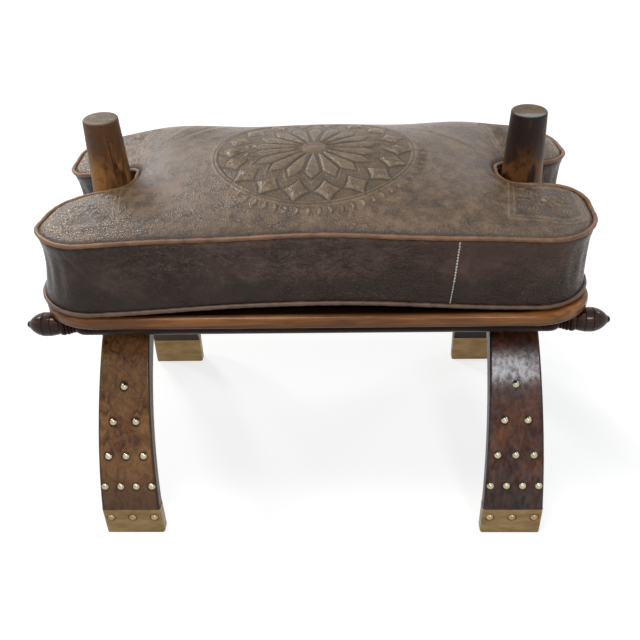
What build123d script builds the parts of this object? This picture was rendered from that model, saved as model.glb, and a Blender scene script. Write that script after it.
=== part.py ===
"""Camel saddle stool: two arched pairs of legs under a board, with a loose leather cushion on top.

X runs along the stool, Y from front (-) to back (+), Z up. The origin is on the floor at the
middle of the stool. All sizes are in millimetres.
"""

import os
from math import atan2, cos, hypot, radians, sin, sqrt, tan

from build123d import *

# Whole stool
stool_height = 490
rail_length = 660
rail_inset = 32
leg_spacing = 482
foot_span = 370
board_underside = 311

# Seat board
board_length = 612
board_depth = 324
board_thickness = 14
board_corner_length = 68
board_corner_depth = 54
board_top_round = 5
board_bottom_round = 2.5

# Legs: curved planks, each one an arc on its outer face
leg_arc_radius = 358
leg_foot_width = 74.1
leg_top_width = 58
leg_foot_thickness = 16.8
leg_middle_thickness = 19
leg_top_thickness = 25
leg_arris = 2.5
foot_shoulder = 0.4

# Crown blocks: where each pair of legs meets under its cross rail
crown_depth = 76
crown_shoulder = 28.6
crown_arch_rise = 7
crown_round = 3

# Brass foot caps
cap_height = 43
cap_sheet = 0.8
cap_fit = 0.05
cap_edge_round = 0.3

# Domed nails: foot cap tacks and leg studs
tack_head_diameter = 10
tack_head_height = 3
tack_height = 28.5
tack_spacing = 27.8
tacks_per_cap = 3
stud_head_diameter = 9.5
stud_head_height = 2.9
stud_row_heights = (187, 151.5, 113, 75)
stud_row_spacings = (0, 28.3, 22, 19.7)
nail_shank_diameter = 2
nail_shank_length = 9
nail_point_length = 3
nail_fit = 0.05

# Turned rails
rail_radius = 13
finial_length = 39
finial_radius = 14
finial_knob_length = 3.6
finial_knob_radius = 4.3
finial_belly_place = 23
finial_base_radius = 11.4
turning_groove_depth = 0.7
finial_groove_places = (3.6, 20.8, 29.7)
ring_widths = (7.2, 3.6, 3.2, 3.8)
ring_radii = (13, 12.1, 11.1, 10.2)
ring_rounding_share = 0.45
neck_radius = 9
vase_length = 11
rail_groove_places = (4, 8)

# Cross rails
cross_rail_width = 50
cross_rail_round = 2
cross_tenon_diameter = 14
cross_tenon_length = 18
joint_fit = 0.1

# Posts
post_top_diameter = 40
post_base_diameter = 54
post_top_round = 2
post_tenon_diameter = 30
post_tenon_chamfer = 1.5
post_tenon_cover = 16
peg_diameter = 9
peg_height_above_tenon_end = 14

# Leg dowels
dowel_diameter = 8
dowel_reach = 16
dowel_spacing = 28
dowel_chamfer = 0.8

# Seat screws
screw_head_diameter = 9
screw_head_angle = 82
screw_shank_diameter = 4.5
screw_length = 34
screw_point_length = 5
screw_spacing = 180
screw_slot_width = 1.2
screw_slot_depth = 1

# Cushion
cushion_length = 604
cushion_depth = 300
cushion_sole_drop = 3.7
cushion_wall_height = 83
cushion_crown = 40
crown_roll_width = 38
crown_roll_height = 24
crown_drop_across = 29
crown_drop_along = 16
notch_slope_reach = 110
notch_slope_lap = 5
notch_slope_clearance = 2
cushion_corner_radius = 60
notch_depth = 93
notch_width = 59
notch_end_radius = 25
notch_mouth_radius = 40
cushion_draw_in = 7
cushion_sole_draw_in = 9
cushion_rest_gap = 0.3
leather = 2
filling_gap = 0.5
piping_radius = 2.75
piping_offset = 1.2
piping_fit = 0.1
trim_overrun = 4

# Rolled edge of the crown, from the upper seam inwards: shares of its width and of its height
roll_level_shares = ((0.18, 0.42), (0.5, 0.78), (1, 1))
# Side wall, lower seam to upper seam: shares of the wall height and of the draw-in
wall_level_shares = ((0, 0.85), (0.35, 1), (0.72, 0.7), (1, 0))

# Worked out from the sizes above
board_top = board_underside + board_thickness
cross_rail_depth = 2 * finial_radius
rail_axis_height = board_underside - finial_radius
rail_y = board_depth / 2 - rail_inset
leg_x = leg_spacing / 2
crown_top = board_underside - cross_rail_depth
crown_half_depth = crown_depth / 2
cap_wall = cap_sheet + cap_fit
leg_foot_y = foot_span / 2 - cap_wall + foot_shoulder
foot_width = leg_foot_width - 2 * foot_shoulder
foot_thickness = leg_foot_thickness - 2 * foot_shoulder
leg_top_height = crown_top - crown_shoulder
nail_shank_radius = nail_shank_diameter / 2
nail_bore_radius = nail_shank_radius + nail_fit
tenon_radius = post_tenon_diameter / 2
tenon_bore_radius = tenon_radius + joint_fit
tenon_end_height = leg_top_height - post_tenon_cover
peg_bore_radius = peg_diameter / 2 + joint_fit
dowel_bore_radius = dowel_diameter / 2 + joint_fit
dowel_bore_reach = dowel_reach + joint_fit
screw_shank_radius = screw_shank_diameter / 2
screw_head_radius = screw_head_diameter / 2
screw_head_depth = (screw_head_radius - screw_shank_radius) / tan(radians(screw_head_angle / 2))
sole_height = board_top + cushion_rest_gap
lower_seam_height = sole_height + cushion_sole_drop
upper_seam_height = lower_seam_height + cushion_wall_height
crest_height = upper_seam_height + cushion_crown
lower_seam_draw_in = wall_level_shares[0][1] * cushion_draw_in
turning_groove_side = turning_groove_depth * sqrt(2)
cross_tenon_radius = cross_tenon_diameter / 2
cross_tenon_end = rail_y - rail_radius + cross_tenon_length
stand_on = (Align.CENTER, Align.CENTER, Align.MIN)
hang_from = (Align.CENTER, Align.CENTER, Align.MAX)
sides = (("left", -1), ("right", 1))
ends = (("front", -1), ("back", 1))


def arc_centre(start, end, radius):
    """Centre of the arc of that radius from start to end, on its left-hand side."""
    run_y, run_z = end[0] - start[0], end[1] - start[1]
    span = hypot(run_y, run_z)
    height = sqrt(radius**2 - (span / 2) ** 2)
    middle_y, middle_z = (start[0] + end[0]) / 2, (start[1] + end[1]) / 2
    return (middle_y - height * run_z / span, middle_z + height * run_y / span)


# The outer faces of the legs as one arc in the plane across the stool, drawn for the back side
leg_butt = (crown_half_depth, leg_top_height)
leg_arc_y, leg_arc_z = arc_centre((leg_foot_y, cap_height), leg_butt, leg_arc_radius)


def leg_arc_height(y, depth=0):
    """Height of the leg's outer face, or of the line that deep inside it, at y."""
    return leg_arc_z + sqrt((leg_arc_radius - depth) ** 2 - (y - leg_arc_y) ** 2)


def leg_arc_angle(height):
    """Angle of the leg's outer face above the horizontal, seen from the arc's centre."""
    return atan2(height - leg_arc_z, sqrt(leg_arc_radius**2 - (height - leg_arc_z) ** 2))


def leg_arc_point(angle, depth=0):
    """Place (y, z) on the leg's outer face, or that deep inside it."""
    radius = leg_arc_radius - depth
    return (leg_arc_y + radius * cos(angle), leg_arc_z + radius * sin(angle))


foot_angle = leg_arc_angle(cap_height)
butt_angle = atan2(leg_butt[1] - leg_arc_z, leg_butt[0] - leg_arc_y)
middle_angle = (foot_angle + butt_angle) / 2
leg_butt_inner = (crown_half_depth, leg_arc_height(crown_half_depth, leg_top_thickness))
foot_inner_y = leg_foot_y - leg_foot_thickness
dowel_tip_y = crown_half_depth + dowel_reach
butt_middle_height = (leg_butt[1] + leg_butt_inner[1]) / 2
tip_middle_height = (leg_arc_height(dowel_tip_y) + leg_arc_height(dowel_tip_y, leg_top_thickness)) / 2
dowel_height = (butt_middle_height + tip_middle_height) / 2


# Nails


def domed_nail(head_diameter, head_height):
    """A nail with its head on the XY plane and its shank below."""
    head_radius = head_diameter / 2
    dome_radius = (head_radius**2 + head_height**2) / (2 * head_height)
    dome_centre = head_height - dome_radius
    lean = atan2(head_radius, -dome_centre) / 2
    with BuildPart() as nail:
        with BuildSketch(Plane.XZ):
            with BuildLine():
                ThreePointArc(
                    (0, head_height),
                    (dome_radius * sin(lean), dome_centre + dome_radius * cos(lean)),
                    (head_radius, 0),
                )
                Polyline(
                    (head_radius, 0),
                    (nail_shank_radius, 0),
                    (nail_shank_radius, nail_point_length - nail_shank_length),
                    (0, -nail_shank_length),
                    (0, head_height),
                )
            make_face()
        revolve(axis=Axis.Z)
    return nail.part


def stud_planes(side_x, end_y):
    """Planes on the outer face of one leg, one for each stud, with Z pointing out of the wood."""
    planes = []
    for row, height in enumerate(stud_row_heights):
        angle = leg_arc_angle(height)
        y, z = leg_arc_point(angle)
        for place in range(row + 1):
            x = side_x * leg_x + (place - row / 2) * stud_row_spacings[row]
            planes.append(Plane((x, end_y * y, z), (1, 0, 0), (0, end_y * cos(angle), sin(angle))))
    return planes


def tack_planes(side_x, end_y):
    """Planes on the outer face of one foot cap, one for each tack, with Z pointing outwards."""
    planes = []
    for place in range(tacks_per_cap):
        x = side_x * leg_x + (place - (tacks_per_cap - 1) / 2) * tack_spacing
        planes.append(Plane((x, end_y * foot_span / 2, tack_height), (1, 0, 0), (0, end_y, 0)))
    return planes


def dowel_planes(side_x, end_y):
    """Planes in the butt joint of one leg, one for each dowel, with Z pointing into the leg."""
    planes = []
    for place in (-1, 1):
        x = side_x * leg_x + place * dowel_spacing / 2
        planes.append(Plane((x, end_y * crown_half_depth, dowel_height), (1, 0, 0), (0, end_y, 0)))
    return planes


# Legs, foot caps and their nails


def foot_centre(side_x, end_y):
    """Place (x, y) of the middle of one foot."""
    return (side_x * leg_x, end_y * (leg_foot_y - leg_foot_thickness / 2))


def leg(side_x, end_y):
    """One curved plank, with bores for its nails and dowels."""
    foot_outer = (end_y * leg_foot_y, cap_height)
    foot_inner = (end_y * foot_inner_y, cap_height)
    butt_outer = (end_y * leg_butt[0], leg_butt[1])
    butt_inner = (end_y * leg_butt_inner[0], leg_butt_inner[1])
    outer_middle = leg_arc_point(middle_angle)
    inner_middle = leg_arc_point(middle_angle, leg_middle_thickness)
    with BuildPart() as plank:
        with BuildSketch(Plane.YZ.offset(side_x * leg_x)):
            with BuildLine():
                ThreePointArc(foot_outer, (end_y * outer_middle[0], outer_middle[1]), butt_outer)
                Line(butt_outer, butt_inner)
                ThreePointArc(butt_inner, (end_y * inner_middle[0], inner_middle[1]), foot_inner)
                Line(foot_inner, foot_outer)
            make_face()
        extrude(amount=leg_foot_width / 2, both=True)
        with BuildSketch(Plane.XZ):
            with BuildLine():
                Polyline(
                    (side_x * leg_x - leg_foot_width / 2, cap_height),
                    (side_x * leg_x + leg_foot_width / 2, cap_height),
                    (side_x * leg_x + leg_top_width / 2, leg_top_height),
                    (side_x * leg_x - leg_top_width / 2, leg_top_height),
                    close=True,
                )
            make_face()
        extrude(amount=foot_span, both=True, mode=Mode.INTERSECT)
        butt_edges = plank.faces().sort_by(Axis.Y)[0 if end_y > 0 else -1].edges()
        level_edges = plank.edges().filter_by(Axis.X) + plank.edges().filter_by(Axis.Y)
        fillet(plank.edges() - butt_edges - level_edges, leg_arris)
        with BuildSketch(Plane.XY.offset(cap_sheet)):
            with Locations(foot_centre(side_x, end_y)):
                RectangleRounded(foot_width, foot_thickness, leg_arris)
        extrude(amount=cap_height - cap_sheet)
        with Locations(*stud_planes(side_x, end_y), *tack_planes(side_x, end_y)):
            Cylinder(nail_bore_radius, nail_shank_length + nail_fit, align=hang_from, mode=Mode.SUBTRACT)
        with Locations(*dowel_planes(side_x, end_y)):
            Cylinder(dowel_bore_radius, 2 * dowel_bore_reach, mode=Mode.SUBTRACT)
    return plank.part


def foot_cap(side_x, end_y):
    """Brass sheet folded round the foot, open at the top."""
    outer_round = leg_arris + cap_wall
    inner_round = leg_arris + cap_fit
    with BuildPart() as cap:
        with BuildSketch():
            with Locations(foot_centre(side_x, end_y)):
                RectangleRounded(foot_width + 2 * cap_wall, foot_thickness + 2 * cap_wall, outer_round)
        extrude(amount=cap_height)
        with BuildSketch(Plane.XY.offset(cap_sheet)):
            with Locations(foot_centre(side_x, end_y)):
                RectangleRounded(foot_width + 2 * cap_fit, foot_thickness + 2 * cap_fit, inner_round)
        extrude(amount=cap_height, mode=Mode.SUBTRACT)
        fillet(cap.faces().sort_by(Axis.Z)[0].edges(), cap_edge_round)
        with Locations(*tack_planes(side_x, end_y)):
            Cylinder(nail_bore_radius, 2 * cap_wall, mode=Mode.SUBTRACT)
    return cap.part


def one_on_each(planes, piece):
    """The same piece on each plane, as one group of separate solids."""
    with BuildPart() as group:
        with Locations(*planes):
            add(piece)
    return group.part


# Crown blocks, posts, pegs and dowels


def peg_plane(side_x):
    """Plane in the middle of one post's peg, with Z along the peg."""
    return Plane((side_x * leg_x, 0, tenon_end_height + peg_height_above_tenon_end), (0, 1, 0), (1, 0, 0))


def crown_block(side_x):
    """Block between the tops of two legs, bored for the post, its peg and the leg dowels."""
    low = leg_butt_inner[1]
    with BuildPart() as block:
        with BuildSketch(Plane.YZ.offset(side_x * leg_x)):
            with BuildLine():
                ThreePointArc((crown_half_depth, low), (0, low + crown_arch_rise), (-crown_half_depth, low))
                Polyline(
                    (-crown_half_depth, low),
                    (-crown_half_depth, crown_top),
                    (crown_half_depth, crown_top),
                    (crown_half_depth, low),
                )
            make_face()
        extrude(amount=leg_top_width / 2, both=True)
        chamfer(block.faces().sort_by(Axis.Z)[-1].edges(), crown_round)
        with Locations((side_x * leg_x, 0, tenon_end_height - joint_fit)):
            Cylinder(tenon_bore_radius, crown_top, align=stand_on, mode=Mode.SUBTRACT)
        with Locations(peg_plane(side_x)):
            Cylinder(peg_bore_radius, leg_top_width, mode=Mode.SUBTRACT)
        with Locations(*dowel_planes(side_x, -1), *dowel_planes(side_x, 1)):
            Cylinder(dowel_bore_radius, 2 * dowel_bore_reach, mode=Mode.SUBTRACT)
    return block.part


def post(side_x):
    """Tapered post, with a shoulder on the board and a round tenon down into its crown block."""
    with BuildPart() as turned:
        with BuildSketch(Plane.XZ):
            with BuildLine():
                Polyline(
                    (0, stool_height),
                    (post_top_diameter / 2, stool_height),
                    (post_base_diameter / 2, board_top),
                    (tenon_radius, board_top),
                    (tenon_radius, tenon_end_height + post_tenon_chamfer),
                    (tenon_radius - post_tenon_chamfer, tenon_end_height),
                    (0, tenon_end_height),
                    close=True,
                )
            make_face()
        revolve(axis=Axis.Z)
        fillet(turned.faces().sort_by(Axis.Z)[-1].edges(), post_top_round)
    with BuildPart() as pommel:
        with Locations((side_x * leg_x, 0, 0)):
            add(turned.part)
        with Locations(peg_plane(side_x)):
            Cylinder(peg_bore_radius, post_base_diameter, mode=Mode.SUBTRACT)
    return pommel.part


def post_peg(side_x):
    """Round peg through the crown block and the post's tenon."""
    with BuildPart() as peg:
        with Locations(peg_plane(side_x)):
            Cylinder(peg_diameter / 2, leg_top_width)
    return peg.part


def leg_dowels():
    """Dowels across the butt joints between the legs and the crown blocks."""
    planes = [plane for _, side_x in sides for _, end_y in ends for plane in dowel_planes(side_x, end_y)]
    with BuildPart() as dowel:
        Cylinder(dowel_diameter / 2, 2 * dowel_reach)
        chamfer(dowel.edges().filter_by(GeomType.CIRCLE), dowel_chamfer)
    return one_on_each(planes, dowel.part)


# Rails and cross rails


def arc_drop(place, span, drop):
    """How far an arc has dropped at that place, if it starts level and drops by drop over span."""
    radius = (span**2 + drop**2) / (2 * drop)
    return radius - sqrt(radius**2 - place**2)


def arc_from_crest(crest, end):
    """Arc that starts level at its crest and ends at another point."""
    span, drop = end[0] - crest[0], crest[1] - end[1]
    middle = (crest[0] + span / 2, crest[1] - arc_drop(span / 2, span, drop))
    return ThreePointArc(crest, middle, end)


def rail(end_y):
    """Turned rail with a finial, rings, a neck and a vase at each end of a plain rod."""
    tip = -rail_length / 2
    knob = (tip + finial_knob_length, finial_knob_radius)
    belly = (tip + finial_belly_place, finial_radius)
    base = (tip + finial_length, finial_base_radius)
    neck = (base[0] + sum(ring_widths), neck_radius)
    vase = (neck[0] + vase_length, rail_radius)
    front_span, front_drop = belly[0] - knob[0], finial_radius - finial_knob_radius
    back_span, back_drop = base[0] - belly[0], finial_radius - finial_base_radius
    with BuildPart() as turning:
        with BuildSketch(Plane.XZ):
            with Locations((tip + finial_knob_radius, 0)):
                Circle(finial_knob_radius)
            with BuildLine():
                arc_from_crest(belly, knob)
                arc_from_crest(belly, base)
                Polyline(knob, (knob[0], 0), (base[0], 0), base)
            make_face()
            for count, (width, radius) in enumerate(zip(ring_widths, ring_radii)):
                with Locations((base[0] + sum(ring_widths[:count]) + width / 2, 0)):
                    RectangleRounded(width, 2 * radius, width * ring_rounding_share)
            with BuildLine():
                arc_from_crest(vase, neck)
                Polyline(neck, (base[0], neck_radius), (base[0], 0), (0, 0), (0, rail_radius), vase)
            make_face()
            for place in finial_groove_places:
                along = tip + place - belly[0]
                if along < 0:
                    radius = finial_radius - arc_drop(along, front_span, front_drop)
                else:
                    radius = finial_radius - arc_drop(along, back_span, back_drop)
                with Locations((tip + place, radius)):
                    Rectangle(turning_groove_side, turning_groove_side, rotation=45, mode=Mode.SUBTRACT)
            for place in rail_groove_places:
                with Locations((vase[0] + place, rail_radius)):
                    Rectangle(turning_groove_side, turning_groove_side, rotation=45, mode=Mode.SUBTRACT)
            mirror(about=Plane.YZ)
            Rectangle(rail_length, 2 * finial_radius, align=(Align.CENTER, Align.MIN), mode=Mode.INTERSECT)
        revolve(axis=Axis.X)
    with BuildPart() as rod:
        with Locations((0, end_y * rail_y, rail_axis_height)):
            add(turning.part)
        for _, side_x in sides:
            with Locations(cross_tenon_plane(side_x)):
                Cylinder(
                    cross_tenon_radius + joint_fit, 2 * (cross_tenon_end + joint_fit),
                    mode=Mode.SUBTRACT,
                )
    return rod.part


def cross_tenon_plane(side_x):
    """Plane in the middle of one cross rail, with Z along its tenons."""
    return Plane((side_x * leg_x, 0, rail_axis_height), (1, 0, 0), (0, 1, 0))


def cross_rail(side_x):
    """Bar between the two turned rails, with round tenons, bored for its post and screws."""
    with BuildPart() as bar:
        with Locations((side_x * leg_x, 0, rail_axis_height)):
            Box(cross_rail_width, 2 * (rail_y - rail_radius), cross_rail_depth)
        fillet(bar.edges().filter_by(Axis.Y), cross_rail_round)
        with Locations(cross_tenon_plane(side_x)):
            Cylinder(cross_tenon_radius, 2 * cross_tenon_end)
        with Locations((side_x * leg_x, 0, rail_axis_height)):
            Cylinder(tenon_bore_radius, cross_rail_depth, mode=Mode.SUBTRACT)
        with Locations(*screw_planes(side_x)):
            Cylinder(
                screw_shank_radius + nail_fit,
                screw_length + nail_fit,
                align=hang_from,
                mode=Mode.SUBTRACT,
            )
    return bar.part


# Seat board and its screws


def screw_planes(side_x):
    """Planes on the board's top, one for each screw of one cross rail."""
    return [Plane((side_x * leg_x, end_y * screw_spacing / 2, board_top)) for _, end_y in ends]


def seat_board():
    """Flat board with rounded corners and edges, bored for the posts and screws."""
    corner = (board_length / 2 - board_corner_length, board_depth / 2 - board_corner_depth)
    with BuildPart() as board:
        with BuildSketch(Plane.XY.offset(board_underside)):
            with BuildLine():
                Line((0, board_depth / 2), (corner[0], board_depth / 2))
                EllipticalCenterArc(corner, board_corner_length, board_corner_depth, arc_size=90)
                Line((board_length / 2, corner[1]), (board_length / 2, 0))
                mirror(about=Plane.YZ)
                mirror(about=Plane.XZ)
            make_face()
        extrude(amount=board_thickness)
        fillet(board.faces().sort_by(Axis.Z)[-1].edges(), board_top_round)
        fillet(board.faces().sort_by(Axis.Z)[0].edges(), board_bottom_round)
        for _, side_x in sides:
            with Locations((side_x * leg_x, 0, board_underside)):
                Cylinder(tenon_bore_radius, board_thickness, align=stand_on, mode=Mode.SUBTRACT)
            with Locations(*screw_planes(side_x)):
                CounterSinkHole(
                    screw_shank_radius + nail_fit,
                    screw_head_radius + nail_fit,
                    board_thickness,
                    screw_head_angle,
                )
    return board.part


def seat_screws():
    """Slotted countersunk screws down through the board into the cross rails."""
    with BuildPart() as screw:
        with BuildSketch(Plane.XZ):
            with BuildLine():
                Polyline(
                    (0, 0),
                    (screw_head_radius, 0),
                    (screw_shank_radius, -screw_head_depth),
                    (screw_shank_radius, screw_point_length - screw_length),
                    (0, -screw_length),
                    close=True,
                )
            make_face()
        revolve(axis=Axis.Z)
        Box(screw_slot_width, screw_head_diameter, 2 * screw_slot_depth, mode=Mode.SUBTRACT)
    return one_on_each([plane for _, side_x in sides for plane in screw_planes(side_x)], screw.part)


# Cushion


def quarter_outline(inset):
    """Outline of one quarter of the cushion seen from above, from its long side to its notch."""
    half_length = cushion_length / 2 - inset
    half_depth = cushion_depth / 2 - inset
    notch_end = half_length - notch_depth
    notch_half = notch_width / 2 + inset
    return FilletPolyline(
        (0, half_depth),
        (half_length, half_depth),
        (half_length, notch_half),
        (notch_end, notch_half),
        (notch_end, 0),
        radius=(cushion_corner_radius - inset, notch_mouth_radius - inset, notch_end_radius + inset),
    )


def cushion_plan(inset):
    """Whole outline of the cushion seen from above, as a face."""
    with BuildSketch() as plan:
        with BuildLine():
            quarter_outline(inset)
            mirror(about=Plane.YZ)
            mirror(about=Plane.XZ)
        make_face()
    return plan.sketch


def crest_radius(run, drop):
    """Radius of an arc that falls by drop at a distance run from its crest."""
    return (run**2 + drop**2) / (2 * drop)


def face_line(inset):
    """Outer face of the cushion in section, from its sole up to its crown: inset and height."""
    points = [(inset + lower_seam_draw_in + cushion_sole_draw_in, sole_height + inset)]
    for rise_share, draw_share in wall_level_shares:
        height = lower_seam_height + rise_share * cushion_wall_height
        points.append((inset + draw_share * cushion_draw_in, height))
    for width_share, height_share in roll_level_shares:
        height = upper_seam_height + height_share * (crown_roll_height - inset)
        points.append((inset + width_share * crown_roll_width, height))
    return points


def cushion_form(inset):
    """The whole cushion, that far inside its outer face: crown, rolled edge and drawn-in sides."""
    low, crest = sole_height + inset, crest_height - inset
    half_depth = cushion_depth / 2
    shoulder = crest - crown_drop_across
    line = face_line(inset)
    with BuildPart() as trim:
        with BuildLine(Plane.XY) as path:
            quarter_outline(inset)
        with BuildSketch(Plane((0, half_depth, 0), x_dir=(0, 1, 0), z_dir=(1, 0, 0))):
            with BuildLine():
                Polyline(
                    *[(-place, height) for place, height in line],
                    (-line[-1][0], crest),
                    (trim_overrun, crest),
                    (trim_overrun, line[0][1]),
                    close=True,
                )
            make_face()
        sweep(path=path.line)
        mirror(about=Plane.YZ)
        mirror(about=Plane.XZ)
    notch_end, notch_half = cushion_length / 2 - notch_depth - inset, notch_width / 2
    edge, level = line[-1]
    with BuildPart() as dip:
        with BuildLine(Plane.XY) as path:
            FilletPolyline(
                (cushion_length / 2 + trim_overrun, notch_half + inset),
                (notch_end, notch_half + inset),
                (notch_end, 0),
                radius=notch_end_radius + inset,
            )
        start = (cushion_length / 2 + trim_overrun, notch_half, 0)
        with BuildSketch(Plane(start, x_dir=(0, -1, 0), z_dir=(-1, 0, 0))):
            with BuildLine():
                Polyline(
                    (-edge, level),
                    (-notch_slope_reach, crest),
                    (notch_slope_lap - edge, crest),
                    (notch_slope_lap - edge, level + notch_slope_clearance),
                    close=True,
                )
            make_face()
        sweep(path=path.line)
        mirror(about=Plane.YZ)
        mirror(about=Plane.XZ)
    with BuildPart() as form:
        with BuildSketch(Plane.XY.offset(low)):
            add(cushion_plan(inset))
        extrude(amount=crest - low)
        with BuildSketch(Plane.YZ):
            with BuildLine():
                RadiusArc((-half_depth, shoulder), (half_depth, shoulder),
                          crest_radius(half_depth, crown_drop_across))
                Polyline((half_depth, shoulder), (half_depth, 0), (-half_depth, 0), (-half_depth, shoulder))
            make_face()
        along_radius = crest_radius(cushion_length / 2, crown_drop_along)
        revolve(axis=Axis((0, 0, crest - along_radius), (0, 1, 0)), mode=Mode.INTERSECT)
        add(trim.part, mode=Mode.SUBTRACT)
        add(dip.part, mode=Mode.SUBTRACT)
    return form.part


def piping(height, inset, radius=piping_radius):
    """Round cord in its leather sleeve, along one seam."""
    with BuildPart() as cord:
        with BuildLine(Plane.XY.offset(height)) as seam:
            quarter_outline(inset - piping_offset)
        with BuildSketch(Plane(seam.line @ 0, z_dir=seam.line % 0)):
            Circle(radius)
        sweep(path=seam.line)
        mirror(about=Plane.YZ)
        mirror(about=Plane.XZ)
    return cord.part


def leather_panel(low, high, bores):
    """The cushion's leather between two heights, cut back where the piping lies."""
    with BuildPart() as panel:
        add(cushion_cover)
        with Locations((0, 0, low)):
            Box(cushion_length, cushion_depth, high - low, align=stand_on, mode=Mode.INTERSECT)
        for bore in bores:
            add(bore, mode=Mode.SUBTRACT)
    return panel.part


# Build and write every piece

os.makedirs("parts", exist_ok=True)


def save(piece, name):
    """Label one piece and write it to its own file."""
    piece.label = name
    export_step(piece, f"parts/{name}.step")


stud = domed_nail(stud_head_diameter, stud_head_height)
tack = domed_nail(tack_head_diameter, tack_head_height)
for side_name, side_x in sides:
    for end_name, end_y in ends:
        corner_name = f"{end_name}_{side_name}"
        save(leg(side_x, end_y), f"{corner_name}_leg")
        save(foot_cap(side_x, end_y), f"{corner_name}_foot_cap")
        save(one_on_each(stud_planes(side_x, end_y), stud), f"{corner_name}_leg_studs")
        save(one_on_each(tack_planes(side_x, end_y), tack), f"{corner_name}_cap_tacks")
    save(crown_block(side_x), f"{side_name}_crown_block")
    save(cross_rail(side_x), f"{side_name}_cross_rail")
    save(post(side_x), f"{side_name}_post")
    save(post_peg(side_x), f"{side_name}_post_peg")
for end_name, end_y in ends:
    save(rail(end_y), f"{end_name}_rail")
save(leg_dowels(), "leg_dowels")
save(seat_board(), "seat_board")
save(seat_screws(), "seat_screws")

with BuildPart() as cover:
    add(cushion_form(0))
    add(cushion_form(leather), mode=Mode.SUBTRACT)
cushion_cover = cover.part
piping_bore_radius = piping_radius + piping_fit
top_bore = piping(upper_seam_height, 0, piping_bore_radius)
bottom_bore = piping(lower_seam_height, lower_seam_draw_in, piping_bore_radius)
save(piping(upper_seam_height, 0), "top_piping")
save(piping(lower_seam_height, lower_seam_draw_in), "bottom_piping")
save(leather_panel(upper_seam_height, crest_height, [top_bore]), "cushion_top_panel")
save(leather_panel(lower_seam_height, upper_seam_height, [top_bore, bottom_bore]), "cushion_side_band")
save(leather_panel(board_top, lower_seam_height, [bottom_bore]), "cushion_bottom_panel")
save(cushion_form(leather + filling_gap), "cushion_filling")
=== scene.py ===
"""Camel saddle stool: arched wooden frame with a loose notched leather cushion."""

import math

import bpy
import numpy as np
from mathutils import Matrix, Vector


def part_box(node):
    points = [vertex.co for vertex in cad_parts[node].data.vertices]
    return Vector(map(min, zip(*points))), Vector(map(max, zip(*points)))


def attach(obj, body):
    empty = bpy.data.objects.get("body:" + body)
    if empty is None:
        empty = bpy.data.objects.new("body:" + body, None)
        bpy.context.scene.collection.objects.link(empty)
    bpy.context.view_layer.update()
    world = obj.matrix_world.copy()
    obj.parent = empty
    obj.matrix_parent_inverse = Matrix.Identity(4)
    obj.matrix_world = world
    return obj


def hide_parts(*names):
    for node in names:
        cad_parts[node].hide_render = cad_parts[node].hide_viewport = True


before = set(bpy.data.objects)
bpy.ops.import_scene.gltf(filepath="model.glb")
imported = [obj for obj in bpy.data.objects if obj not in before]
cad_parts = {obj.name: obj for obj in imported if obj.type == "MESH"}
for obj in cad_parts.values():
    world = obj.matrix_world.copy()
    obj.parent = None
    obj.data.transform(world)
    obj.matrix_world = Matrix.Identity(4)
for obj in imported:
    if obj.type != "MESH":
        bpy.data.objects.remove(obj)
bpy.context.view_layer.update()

MM = 0.001
ACROSS, DEEP, UP = 0, 1, 2


def reach_of(solid, axis):
    """Lowest and highest place of a solid along an axis, in millimetres."""
    low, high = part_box(solid)
    return round(low[axis] / MM, 2), round(high[axis] / MM, 2)


# Sizes of the frame in millimetres
LEG_X = sum(reach_of("front_right_leg", ACROSS)) / 2
RAIL_LOW = reach_of("front_rail", UP)[0]
BOARD_LOW, BOARD_HIGH = reach_of("seat_board", UP)
POST_TOP = reach_of("left_post", UP)[1]

# Sizes of the cushion in millimetres; its piping is a little thinner here than in the solids
SOLID_PIPING = 2.75
PIPING = 2.45
PIPING_OUT = 1.2
HALF_LENGTH = round(reach_of("top_piping", ACROSS)[1] - SOLID_PIPING - PIPING_OUT, 1)
HALF_DEPTH = round(reach_of("top_piping", DEEP)[1] - SOLID_PIPING - PIPING_OUT, 1)
CORNER, MOUTH, NOTCH_END = 60.0, 40.0, 25.0
NOTCH_HALF, NOTCH_DEPTH = 29.5, 93.0
NOTCH_X = HALF_LENGTH - NOTCH_DEPTH
SEAM_LOW, SEAM_HIGH = reach_of("cushion_side_band", UP)
CREST = reach_of("cushion_top_panel", UP)[1]
SOLE_RAISED = 0.1
SOLE = reach_of("cushion_bottom_panel", UP)[0] + SOLE_RAISED

# How this one cushion is worn, in millimetres
SUNK_BACK_LEFT, SUNK_FRONT_LEFT, SUNK_BACK_RIGHT = 11.5, 9.0, 6.5
SPREAD_OUT = 4.5
FOOT_INSET, FOOT_SPREAD, FOOT_SPREAD_LEFT = 5.6, 6.4, 7.0


# Outline of the cushion and the heights of its two seams

def arc(cx, cy, radius, start, end, count):
    a = np.radians(np.linspace(start, end, count, endpoint=False))
    return np.stack([cx + radius * np.cos(a), cy + radius * np.sin(a)], 1)


def line(x0, y0, x1, y1, count):
    t = np.linspace(0, 1, count, endpoint=False)[:, None]
    return np.array([[x0, y0]]) * (1 - t) + np.array([[x1, y1]]) * t


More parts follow.
